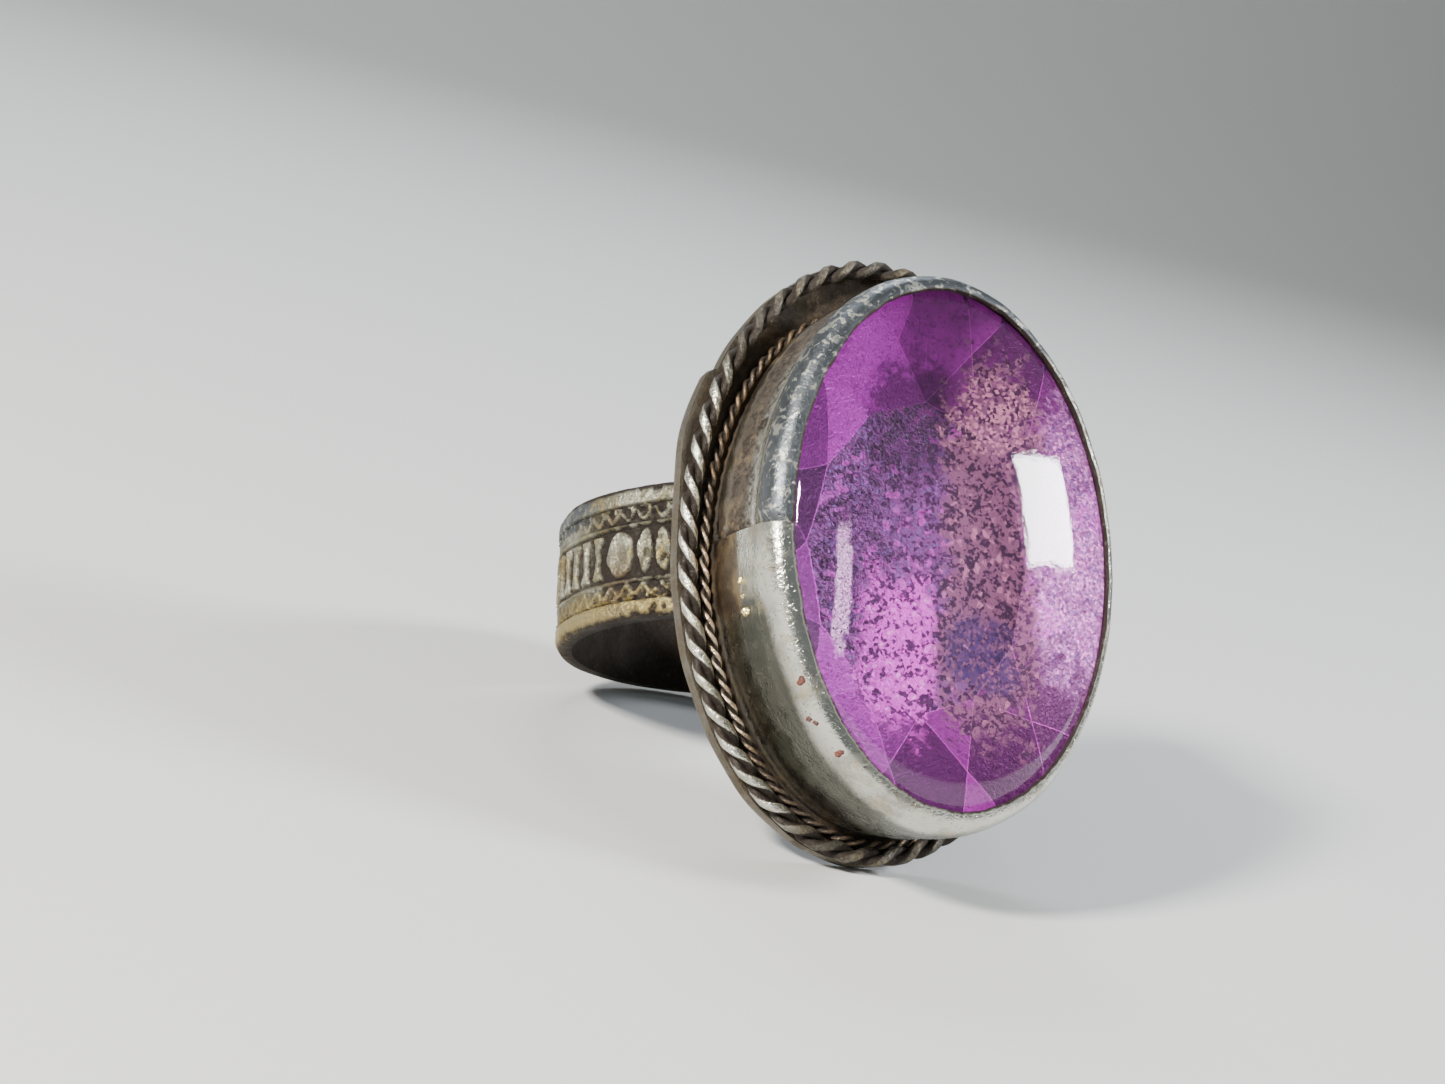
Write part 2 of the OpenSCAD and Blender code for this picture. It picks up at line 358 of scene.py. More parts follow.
@dataclass(frozen=True)
class OldSilver:
    """Worn low-grade silver: bright where rubbed, dark and warm where dirt has stayed and where shade
    is painted.

    It reads up to five marks from the mesh: relief, 0 in a recess and 1 on a crest, which some pieces
    lower where they paint shade; soil, for brown dirt and for painted shade; lip, where the metal is
    blue-grey, and on the band's top border a painted blue-grey reflection; gilt where it is brassy;
    and dull, which is painted grey-green shade on the bezel's lower wall.
    """

    name: str
    bright: Colour = (0.62, 0.61, 0.54)
    dull: Colour = (0.30, 0.29, 0.23)
    dark: Colour = (0.030, 0.022, 0.016)
    warm: Colour = (0.42, 0.30, 0.15)
    soil_and_shade_colour: Colour = (0.15, 0.10, 0.065)
    cool: Colour = (0.085, 0.10, 0.12)
    olive: Colour = (0.085, 0.087, 0.066)
    tarnish: float = 0.5
    warmth: float = 0.3
    grain_per_mm: float = 1.6
    polish: float = 0.22
    pitting: float = 0.05
    dents: float = 0.02
    relief_low: float = 0.10
    relief_high: float = 0.65

    def build(self) -> Material:
        """Mixes the tones by the marks, clouds and specks; some marks carry painted shade and
        reflection.
        """
        g = Graph(self.name)
        cloud = g.noise(self.grain_per_mm * 0.35, 4.0, 0.6)
        fleck = g.noise(self.grain_per_mm * 1.5, 5.0, 0.8)
        speck = g.noise(self.grain_per_mm * 4.0, 4.0, 1.0)
        rough_edge = (speck - 0.5) * 0.6 + (fleck - 0.5) * 0.6
        worn = (g.attribute("relief") + rough_edge).step(self.relief_low, self.relief_high)
        soil_and_shade = (g.attribute("soil_and_shade") + rough_edge * 0.7).step(0.25, 0.75)
        lip = (g.attribute("lip") + (fleck - 0.5) * 0.8).step(0.35, 0.75)
        film = (cloud + rough_edge * 0.4).step(0.62 - 0.4 * self.tarnish, 0.95 - 0.4 * self.tarnish)
        # Painted shade: the dull mark tints the bezel's lower wall dark grey-green.
        dull = (g.attribute("dull") + (cloud - 0.5) * 0.5 + rough_edge * 0.3).step(0.15, 0.90)
        gold = 1 - fleck + (cloud - 0.5) * 0.6 + g.attribute("gilt") * 0.35
        gold = gold.step(0.62 - 0.25 * self.warmth, 0.80 - 0.25 * self.warmth)
        tone = g.mix(self.bright, self.dull, film * 0.85)
        tone = g.mix(tone, self.warm, gold * (g.attribute("gilt") * 0.2 + 0.25 + 0.5 * self.warmth))
        pale = (fleck + (speck - 0.5) * 0.3).step(0.53, 0.63)
        # The lip mark is the bezel's blue-grey at its lip and seam, and on the band's top border a
        # painted blue-grey reflection.
        tone = g.mix(tone, self.cool, lip * (1 - pale) * 0.9)
        tone = g.mix(tone, self.olive, dull * 0.9)
        # Painted shade: through the soil mark this tone also darkens the bezel's foot, the foot wire,
        # the plate and the band's bore, beside real brown dirt.
        soil_and_shade_mix = g.mix(self.soil_and_shade_colour, self.warm, (cloud + (fleck - 0.5) * 0.8).step(0.40, 0.75) * 0.6)
        tone = g.mix(tone, soil_and_shade_mix, soil_and_shade * 0.85)
        tone = g.mix(self.dark, tone, worn)
        pits = g.cells(self.grain_per_mm * 3.0)[0].step(0.05, 0.20)
        tone = g.mix(self.dark, tone, 0.5 + 0.5 * pits)
        rough = self.polish + 0.25 * film + 0.3 * (1 - worn) + 0.12 * soil_and_shade + 0.2 * lip + 0.1 * speck
        normal = g.bump(cloud, self.dents * 4.0)
        normal = g.bump(fleck, self.dents * 2.0, normal)
        normal = g.bump(speck, self.pitting, normal)
        normal = g.bump(pits, self.pitting * 0.6, normal)
        metallic = 0.45 + 0.55 * worn
        return g.finish(
            {"Base Color": tone, "Metallic": metallic, "Roughness": rough, "Normal": normal}
        )


@dataclass(frozen=True)
class Lac:
    """Red-brown lac, brittle and a little glossy."""

    name: str = "lac"
    fresh: Colour = (0.17, 0.040, 0.022)
    aged: Colour = (0.055, 0.020, 0.014)

    def build(self) -> Material:
        """Clouds of the two tones with a crumbly surface."""
        g = Graph(self.name)
        crumb = g.noise(3.0, 5.0, 0.5)
        tone = g.mix(self.aged, self.fresh, crumb.step(0.3, 0.7))
        return g.finish(
            {"Base Color": tone, "Roughness": 0.4 + 0.3 * crumb, "Normal": g.bump(crumb, 0.1)}
        )


@dataclass(frozen=True)
class StoneGlass:
    """Clear purple glass, polished, with the light of the room let through to the foil."""

    name: str = "stone_glass"
    tint: Colour = (0.90, 0.62, 0.91)

    def build(self) -> Material:
        """A glass shader that lamps pass straight through, tinted."""
        g = Graph(self.name)
        smear = g.noise(0.5, 4.0, 1.0)
        scuff = g.noise(2.2, 6.0, 0.3)
        glass = g.surface(
            {
                "Base Color": (*self.tint, 1.0),
                "Roughness": 0.015 + 0.05 * smear.step(0.5, 0.8),
                "IOR": 1.52,
                "Transmission Weight": 1.0,
                "Normal": g.bump(scuff, 0.004),
            }
        )
        clear = g.node("BsdfTransparent", None, {"Color": (*self.tint, 1.0)})[0]
        shadow = g.node("LightPath")[1]
        return g.output(g.node("MixShader", None, {0: shadow, 1: glass, 2: clear})[0])


@dataclass(frozen=True)
class Patch:
    """A rounded stretch of the foil: its middle and half its size on the head, in millimetres."""

    middle: Pair
    half: Pair


@dataclass(frozen=True)
class AgedFoil:
    """Pink foil behind the stone: painted as lit on some facets and in shade on others, with a painted
    glint, and decayed to specks behind the table.
    """

    name: str
    to_row: Matrix
    # fresh is the facets' pink where light is painted on them, violet where shade is painted.
    fresh: Colour = (0.46, 0.055, 0.46)
    flush: Colour = (0.70, 0.085, 0.62)
    violet: Colour = (0.060, 0.011, 0.064)
    lilac: Colour = (0.42, 0.24, 0.44)
    shade: Colour = (0.016, 0.007, 0.020)
    plum: Colour = (0.155, 0.060, 0.17)
    steel: Colour = (0.14, 0.10, 0.25)
    ash: Colour = (0.185, 0.105, 0.13)
    rose: Colour = (0.64, 0.38, 0.37)
    navy: Colour = (0.030, 0.026, 0.095)
    crystal: Colour = (0.88, 0.46, 0.78)
    # The colour of a painted glint.
    painted_glint: Colour = (0.95, 0.80, 0.88)
    dusk_patch: Patch = Patch((3.15, 0.6), (2.3, 8.4))
    gloom_patch: Patch = Patch((-0.7, 6.1), (2.0, 2.6))
    blush_patch: Patch = Patch((-1.2, -4.6), (1.7, 3.4))
    navy_patch: Patch = Patch((2.9, -4.2), (1.5, 1.6))
    rosy_patch: Patch = Patch((2.4, 7.0), (2.2, 1.6))
    lilac_patch: Patch = Patch((7.3, 1.6), (2.1, 6.6))
    # Where the painted glint lies.
    painted_glint_patch: Patch = Patch((-3.7, -1.7), (0.32, 2.6))
    shards_per_mm: float = 7.0
    coarse_per_mm: float = 3.15

    def distance(self, g: Graph, spot: Value, patch: Patch) -> Value:
        """How far a spot lies from a patch's middle, 1 on the patch's outline."""
        scale = (1 / patch.half[0], 1 / patch.half[1], 0.0)
        shift = (-patch.middle[0] / patch.half[0], -patch.middle[1] / patch.half[1], 0.0)
        away = g.vector("MULTIPLY_ADD", spot, scale, shift)[0]
        square = g.vector("MULTIPLY", away, away)[0]
        return g.vector("LENGTH", square)[1]

    def build(self) -> Material:
        """Lays the patches over the facets' tones, each with its own specks."""
        g = Graph(self.name)
        spot = g.mapped(self.to_row)
        cloud = g.noise(0.5, 4.0, 0.8)
        flake = g.noise(1.6, 4.0, 1.2)
        crumb = g.noise(5.0, 4.0, 0.8)
        hair = g.noise(12.0, 3.0, 1.5)
        shard = g.shards(self.shards_per_mm)
        grit = shard[1]
        coarse = g.shards(self.coarse_per_mm)
        grain = crumb * 0.35 + shard[0] * 0.35 + coarse[0] * 0.30
        ragged = (cloud - 0.5) * 1.6 + (flake - 0.5) * 1.3 + (coarse[1] - 0.5) * 0.5

        def inside(patch: Patch, soft: float = 0.5) -> Value:
            """1 inside a patch, with a ragged edge."""
            return 1 - (self.distance(g, spot, patch) + ragged).step(1.0 - soft, 1.0 + soft)

        facet_light_and_tone = g.attribute("tone")
        # Painted light and shade on the facets: each facet's tone mixes from violet, painted shade, to
        # fresh pink, painted light.
        tone = g.mix(self.violet, self.fresh, (facet_light_and_tone + (flake - 0.5) * 0.4).step(0.0, 1.0))
        tone = g.mix(tone, self.shade, grain.step(0.60, 0.72) * 0.35)
        behind = g.mix(self.shade, self.plum, (grain + (flake - 0.5) * 0.4).step(0.36, 0.60))
        behind = g.mix(behind, self.steel, grit.step(0.70, 0.80) * flake.step(0.42, 0.56) * 0.8)
        behind = g.mix(behind, self.flush, coarse[2].step(0.80, 0.86) * flake.step(0.42, 0.56) * 0.45)
        tone = g.mix(tone, behind, (1 - g.attribute("facet")) * 0.9)
        lilac = g.mix(self.lilac, self.steel, shard[2].step(0.60, 0.75) * 0.8)
        lilac = g.mix(lilac, self.crystal, grit.step(0.72, 0.82) * 0.75)
        tone = g.mix(tone, lilac, inside(self.lilac_patch) * (0.3 + 0.6 * grain.step(0.35, 0.60)))
        gloom = g.mix(self.shade, self.violet, grain.step(0.40, 0.66))
        tone = g.mix(tone, gloom, inside(self.gloom_patch) * 0.75)
        blush = g.mix(self.flush, self.crystal, (grain + (flake - 0.5) * 0.5).step(0.66, 0.86))
        blush = g.mix(self.violet, blush, (grain + (flake - 0.5) * 0.6).step(0.36, 0.50))
        tone = g.mix(tone, blush, inside(self.blush_patch) * 0.9)
        ash = g.mix(self.shade, self.ash, grain.step(0.38, 0.56))
        ash = g.mix(ash, self.rose, coarse[2].step(0.84, 0.88) * flake.step(0.45, 0.6) * 0.5)
        ash = g.mix(ash, self.navy, inside(self.navy_patch) * (0.2 + 0.65 * grit.step(0.35, 0.55)))
        ash = g.mix(ash, self.rose, inside(self.rosy_patch) * grit.step(0.60, 0.70) * 0.75)
        dusk = inside(self.dusk_patch, 0.3)
        tone = g.mix(tone, ash, dusk * 0.9)
        tone = g.mix(tone, self.crystal, facet_light_and_tone.step(1.2, 1.4) * 0.06)
        # Painted glint: a pale, grainy streak on the left facets where the light glints.
        tone = g.mix(tone, self.painted_glint, inside(self.painted_glint_patch, 0.35) * hair.step(0.40, 0.50))
        return g.finish(
            {
                "Base Color": tone,
                "Metallic": 0.35 - 0.3 * dusk,
                "Roughness": 0.42 + 0.25 * dusk,
                "Normal": g.bump(crumb, 0.08),
            }
        )


@dataclass(frozen=True)
class StudioPaper:
    """Plain pale paper for the floor."""

    name: str = "studio_paper"
    tone: Colour = (0.66, 0.66, 0.65)
    pale: Colour = (0.68, 0.68, 0.67)

    def build(self) -> Material:
        """A matt sheet with a faint tooth."""
        g = Graph(self.name)
        tooth = g.noise(1.5, 3.0)
        tone = g.mix(self.tone, self.pale, tooth)
        return g.finish({"Base Color": tone, "Roughness": 0.85})


# --- band


class Figure(Enum):
    """The raised figures in the band's middle row."""

    BAR = "bar"
    OVAL = "oval"
    WIDE_OVAL = "wide oval"


@dataclass
class ShankBand:
    """The wide band round the finger, with its stamped rows."""

    placing: Placing
    bore_r: float
    band_r: float
    width: float
    figures: int = 60
    steps_per_figure: int = 16
    face_steps: int = 70
    bore_steps: int = 8
    row_half: float = 1.3
    row_depth: float = 0.25
    strip_from: float = 1.5
    strip_to: float = 2.3
    groove_to: float = 2.48
    edge_round: float = 0.55
    worn_from: float = 1.25

    def figure_at(self, number: int) -> Figure:
        """The figure in a numbered place, counted from the head on either side."""
        if number in (8, 9, 10):
            return Figure.OVAL
        if number in (11, 12):
            return Figure.WIDE_OVAL
        return Figure.BAR

    def figure_height(self, turn: float, z: float) -> float:
        """How much of the full relief stands at a spot of the middle row.

        Args:
            turn: the angle from the head, in radians, from -pi to pi.
            z: the height over the band's middle, in millimetres.

        Returns:
            0 on the sunk ground and 1 on top of a figure.
        """
        pitch = math.tau / self.figures
        place = abs(turn) / pitch
        number = int(place)
        figure = self.figure_at(number)
        across = (place - number - 0.5) * pitch * self.band_r
        if figure is Figure.BAR:
            flare = 0.18 * smooth((abs(z) - 0.55) / 0.5)
            return ridge(across, 0.09 + flare, 0.13) * ridge(z, 1.05, 0.12)
        if figure is Figure.WIDE_OVAL:
            across = (place - 12) * pitch * self.band_r
            inside = math.hypot(across / 0.92, z / 1.2)
        else:
            inside = math.hypot(across / 0.46, z / 1.15)
        return smooth((1.06 - inside) / 0.22) * (0.78 + 0.22 * smooth(inside / 0.8))

    def strip_height(self, turn: float, z: float) -> float:
        """How much of the full relief stands on the scrolled strips beside the middle row."""
        middle = (self.strip_from + self.strip_to) / 2
        beat = math.tau * turn * self.band_r / 1.06
        scroll = ridge(abs(z) - middle - 0.22 * math.sin(beat), 0.06, 0.12)
        dot = ridge(0.5 * math.cos(beat / 2), 0.06, 0.1) * ridge(abs(z) - middle - 0.3, 0.07, 0.1)
        rubbed = 0.75 * smooth((abs(turn) - self.worn_from) / 0.5)
        return max(scroll, dot) * (1 - rubbed) + 0.55 * rubbed

    def sunk(self, turn: float, z: float) -> float:
        """How far the face lies under the band's full radius, in millimetres."""
        high = abs(z)
        if high < self.row_half:
            return self.row_depth * (1 - self.figure_height(turn, z))
        if high < self.strip_from:
            return 0.05 + 0.1 * ridge(high - self.row_half, 0.02, 0.05)
        if high < self.strip_to:
            return 0.05 + 0.15 * (1 - self.strip_height(turn, z))
        if high < self.groove_to:
            return 0.2 * ridge(high - (self.strip_to + self.groove_to) / 2, 0.03, 0.06)
        outer = self.width / 2 - high
        return 0.26 * (1 - smooth(outer / self.edge_round)) ** 2 + 0.02

    def spot(self, i: int, k: int) -> GridPoint:
        """The place and marks of one grid point on the band."""
        count = self.figures * self.steps_per_figure
        turn = math.tau * (i % count) / count
        signed = turn if turn <= math.pi else turn - math.tau
        k %= self.face_steps + self.bore_steps + 2
        half = self.width / 2
        out = Vector((-math.sin(turn), -math.cos(turn), 0.0))
        if k > self.face_steps:
            z = half * (1 - 2 * (k - self.face_steps - 1) / self.bore_steps)
            # Painted shade: the bore's inside is painted dark, with low relief and heavy soil.
            return out * self.bore_r + Vector((0, 0, z)), (0.12, 0.8, 0.0, 0.0)
        z = half * (2 * k / self.face_steps - 1)
        probe = out * self.band_r + Vector((0, 0, z))
        rubbed = smooth(0.5 + wobble(probe, 0.35, 3.0))
        eaten = smooth((wobble(probe, 2.2, 12.0) - 0.05) / 0.3) * smooth((1.5 - abs(signed)) / 0.6)
        uneven_turn = signed + 0.012 * wobble(probe, 1.7, 21.0)
        uneven_z = min(max(z + 0.08 * wobble(probe, 1.4, 33.0), -half), half)
        depth = self.sunk(uneven_turn, uneven_z) * (1 - 0.25 * rubbed)
        depth += 0.02 * (1 + wobble(probe, 1.2, 7.0))
        depth = min(depth + 0.12 * eaten, self.row_depth + 0.04)
        ground = 0.24 * smooth((abs(signed) - 1.2) / 0.4)
        relief = max(1 - depth / self.row_depth - 0.15 * eaten, ground)
        soil_and_shade = 0.25 + 0.6 * wobble(probe, 0.5, 15.0) + 0.3 * eaten
        # Painted reflection: the top border away from the head gets the lip mark, which paints a
        # blue-grey reflection on it.
        steel = 0.8 * smooth((z - 1.6) / 0.5) * smooth((abs(signed) - 1.2) / 0.4)
        gilt = smooth((-z - 1.4) / 0.8)
        return out * (self.band_r - depth) + Vector((0, 0, z)), (relief, soil_and_shade, steel, gilt)

    def build(self, finish: Material) -> None:
        """Builds the band in place of its CAD node."""
        count_v = self.face_steps + self.bore_steps + 2
        marks = ("relief", "soil_and_shade", "lip", "gilt")
        bm = BentGrid(self.figures * self.steps_per_figure, count_v, self.spot, marks).build()
        to_row = self.placing.band()
        finish_piece(bm, "stamped_band", to_row, [finish], ["shank_band"])


# --- plate and wires


@dataclass
class BasePlate:
    """The oval sheet under the head, hammered flat, with a stretch of its edge left untrimmed."""

    placing: Placing
    half: Pair
    thickness: float
    lug_from: float = 151.0
    lug_to: float = 178.0
    lug_reach: float = 0.42
    steps_round: int = 240
    steps_in: int = 40
    edge_steps: int = 4

    def reach(self, degrees: float) -> float:
        """How far the edge stands beyond the trimmed oval at an angle, in millimetres."""
        blunt = smooth((degrees - self.lug_from) / 0.8)
        faded = 1 - smooth((degrees - self.lug_to + 14.0) / 14.0)
        waves = [0.02 * math.sin(math.radians(count * degrees)) for count in (11, 23)]
        return self.lug_reach * blunt * faded + sum(waves) - 0.04

    def spot(self, i: int, k: int) -> GridPoint:
        """The place and marks of one grid point, from the middle of the face round to the back."""
        degrees = 360.0 * (i % self.steps_round) / self.steps_round
        angle = math.radians(degrees)
        last = 2 * self.steps_in + self.edge_steps
        if k <= self.steps_in:
            share, height = k / self.steps_in, self.thickness
        elif k >= self.steps_in + self.edge_steps:
            share, height = (last - k) / self.steps_in, 0.0
        else:
            down = (k - self.steps_in) / self.edge_steps
            share, height = 1.0 + 0.004 * math.sin(math.pi * down), self.thickness * (1 - down)
        reach = self.reach(degrees) * smooth((share - 0.9) / 0.1)
        flat = share * oval_spot(self.half, angle) + oval_out(self.half, angle) * reach
        dimple = 0.06 * wobble(flat, 0.5, 11.0) * smooth((1 - share) / 0.05)
        flat.z = height + min(dimple, 0.0) if height > 0 else 0.0
        edge = smooth((share - 0.97) / 0.03)
        # Inside its edge the plate is kept dark and brown: tarnish, and painted shade between the rim
        # wire and the bezel.
        relief = 0.28 + 0.3 * wobble(flat, 0.5, 5.0) + 0.45 * edge
        return flat, (relief, 0.8 - 0.6 * edge)

    def build(self, finish: Material) -> None:
        """Builds the plate in place of its CAD node."""
        bm = BentGrid(self.steps_round, 2 * self.steps_in + self.edge_steps, self.spot).build()
        to_row = self.placing.plate()
        finish_piece(bm, "hammered_plate", to_row, [finish], ["base_plate"])


@dataclass
class TwistedWire:
    """Two strands twisted together and bent round an oval, their outer turns rubbed flat."""

    to_row: Matrix
    half: Pair
    height: float
    diameter: float
    turns: int
    sides: int
    steps_per_turn: int
    flatten: float = 0.0
    # The wire stays bright within so many degrees of a middle angle and darkens by so much elsewhere;
    # on the foot wire that darkening is painted shade.
    bright_middle: float = 180.0
    bright_half: float = 180.0
    darkening: float = 0.85
    lengths: list[float] = field(default_factory=list)

    def __post_init__(self) -> None:
        """Measures the oval, so that the twist stays even."""
        count = self.turns * self.steps_per_turn
        spots = [oval_spot(self.half, math.tau * i / count) for i in range(count + 1)]
        self.lengths = [0.0]
        for before, after in zip(spots, spots[1:]):
            self.lengths.append(self.lengths[-1] + (after - before).length)

    def strand(self, phase: float) -> BentGrid:
        """One strand, turned by phase against the other.

        Args:
            phase: the angle in radians at which it starts round the wire.

        Returns:
            Its grid.
        """
        count = self.turns * self.steps_per_turn
        strand_r = self.diameter / 4

        def spot(i: int, k: int) -> GridPoint:
            """The place and marks of one grid point on the strand."""
            i %= count
            angle = math.tau * i / count
            twist = phase + math.tau * self.turns * self.lengths[i] / self.lengths[-1]
            side = twist + math.tau * (k % self.sides) / self.sides
            middle = oval_spot(self.half, angle)
            probe = middle + Vector((0, 0, 3.0 * phase))
            plump = 1 + 0.16 * wobble(probe, 0.9, 2.0)
            across = strand_r * (math.cos(twist) + 1.06 * plump * math.cos(side))
            up = strand_r * (math.sin(twist) + 1.06 * plump * math.sin(side))
            away = math.hypot(across, up)
            limit = self.diameter / 2 * (1 - self.flatten * (1 + 0.5 * wobble(middle, 0.6, 4.0)))
            if away > limit:
                across, up = across * limit / away, up * limit / away
            out = oval_out(self.half, angle)
            # Away from the bright stretch the crests are lowered and the tone turned brown and dark: on
            # the foot wire this is painted shade.
            turned = abs((math.degrees(angle) - self.bright_middle + 180.0) % 360.0 - 180.0)
            darkened = smooth((turned - self.bright_half) / 18.0)
            relief = smooth((away / (2 * strand_r) - 0.62) / 0.32) * (1 - 0.4 * darkened * self.darkening)
            soil_and_shade = 0.15 + (self.darkening - 0.15) * darkened
            return middle + out * across + Vector((0, 0, self.height + up)), (relief, soil_and_shade)

        return BentGrid(count, self.sides, spot)

    def build(self, names: Sequence[str], nodes: Sequence[str], slot: str, finish: Material) -> None:
        """Builds both strands in place of their CAD nodes."""
        for number, (name, node) in enumerate(zip(names, nodes)):
            grid = self.strand(math.pi * number)
            finish_piece(grid.build(), name, self.to_row, [finish], [node], 80.0)


# --- bezel


@dataclass
class Bezel:
    """One strip of silver wrapped round the stone, lapped over itself and burnished at the lip.

    The strip's first half has a neck under the lip; towards its end it is burnished full and round.
    """

    placing: Placing
    half: Pair
    foot: float
    height: float
    thickness: float = 0.32
    necked: Sequence[Pair] = (
        (0.10, 0.00), (0.14, 0.09), (0.46, 0.17), (0.72, 0.26), (0.64, 0.38), (0.42, 0.52),
        (0.42, 0.62), (0.72, 0.71), (0.90, 0.81), (0.78, 0.91), (0.46, 0.975), (0.00, 1.00),
    )
    full: Sequence[Pair] = (
        (0.10, 0.00), (0.12, 0.09), (0.30, 0.17), (0.48, 0.26), (0.62, 0.38), (0.74, 0.52),
        (0.82, 0.62), (0.88, 0.71), (0.90, 0.80), (0.78, 0.90), (0.48, 0.97), (0.00, 1.00),
    )
    seam: float = 180.0
    slant: float = 2.5
    lap: float = 14.0
    ramp: float = 2.0
    full_from: float = 110.0
    full_to: float = 190.0
    steps_round: int = 420
    steps_up: int = 56

    def section(self, share: float, fullness: float, inset: float) -> Vector:
        """A point across the strip: its stand-off from the opening and its height over the foot."""
        step = 0.01

        def surface(place: float) -> Vector:
            """A point of the strip's outer face."""
            spot = through(self.necked, place).lerp(through(self.full, place), fullness)
            return Vector((spot.x, spot.y * self.height, 0.0))

        here = surface(share)
        run = (surface(share + step) - surface(share - step)).normalized()
        thin = inset * (1 - 0.4 * smooth((share - 0.85) / 0.15))
        return Vector((here.x - thin * run.y, here.y + thin * run.x, 0.0))

    def spot(self, i: int, k: int) -> GridPoint:
        """The place and marks of one grid point on the strip."""
        sweep = 360.0 + self.lap
        along = sweep * i / self.steps_round
        k %= 2 * self.steps_up + 2
        outer = k <= self.steps_up
        share = (k if outer else 2 * self.steps_up + 1 - k) / self.steps_up
        slant = self.slant * (share - 0.45)
        angle = math.radians(self.seam + sweep - along + slant * smooth((along - 330.0) / 30.0))
        past_seam = along - self.lap + slant
        fullness = smooth((along - self.full_from) / (self.full_to - self.full_from))
        under = 1 - smooth(past_seam / self.ramp)
        over = smooth((along - 360.0 + self.ramp) / self.ramp)
        if outer:
            inset = under * (self.thickness / 2 + 0.03) - over * 0.10
        else:
            inset = self.thickness * (1 - 0.5 * over)
        cut = self.section(share, fullness, inset)
        probe = oval_spot(self.half, angle) + Vector((0, 0, cut.y))
        lip = smooth((share - 0.6) / 0.3)
        wide = 1 - 0.22 * lip * math.cos(angle)
        dent = 0.06 * wobble(probe, 0.28, 1.0) + 0.035 * wobble(probe, 0.9, 8.0) - 0.03
        edge = 0.10 * wobble(probe, 0.7, 6.0) * smooth((share - 0.9) / 0.1)
        stand = cut.x * wide + dent * smooth(share / 0.15) - abs(edge)
        spot = oval_spot((self.half[0] + stand, self.half[1] + stand), angle)
        spot.z = self.foot + max(cut.y + 0.05 * wobble(probe, 0.4, 9.0) * lip, 0.0)
        if not outer:
            return spot, (0.1, 0.5, 0.0, 0.0)
        # Painted shade: the neck under the lip, the foot's crease and the lip's edge against the stone
        # are darkened where shade falls; the step at the seam is darkened as dirt and painted shade.
        neck = ridge(share - 0.41, 0.06, 0.07) * (1 - fullness)
        foot_shade = 1 - smooth(share / 0.14)
        stone_edge_shade = smooth((share - 0.955) / 0.04)
        seam_dirt_and_shade = ridge(past_seam - 0.25, 0.25, 0.5) * (1 - 0.6 * lip)
        # Painted shade: the lower wall below the lip, about 250 to 350 degrees along the strip, is
        # darkened and tinted grey-green through the dull mark.
        dull = ridge(along - 300.0, 50.0, 18.0) * (1 - smooth((share - 0.64) / 0.20))
        dull *= smooth((share - 0.1) / 0.2)
        relief = 0.95 - 0.70 * neck - 0.30 * dull - 0.75 * foot_shade - 0.85 * stone_edge_shade - 0.9 * seam_dirt_and_shade
        by_end = smooth((along - 352.0) / 10.0) * (1 - smooth((share - 0.40) / 0.08))
        wall = (1 - smooth((share - 0.42) / 0.06)) * (1 - fullness)
        # The soil mark holds brown dirt on the wall and just under the seam, and painted shade at the
        # foot.
        soil_and_shade = max(0.64 * wall, 0.85 * by_end, 0.75 * foot_shade)
        steel = 0.8 * ridge(along - 353.0, 5.0, 6.0) * ridge(share - 0.50, 0.08, 0.06)
        return spot, (relief, soil_and_shade, max(smooth((share - 0.64) / 0.08) * (1 - fullness), steel), dull)

    def build(self, finish: Material) -> None:
        """Builds the strip in place of its CAD node."""
        marks = ("relief", "soil_and_shade", "lip", "dull")
        bm = BentGrid(self.steps_round, 2 * self.steps_up + 2, self.spot, marks).build()
        to_row = self.placing.head()
        finish_piece(bm, "lapped_bezel", to_row, [finish], ["bezel_strip"])


# --- stone


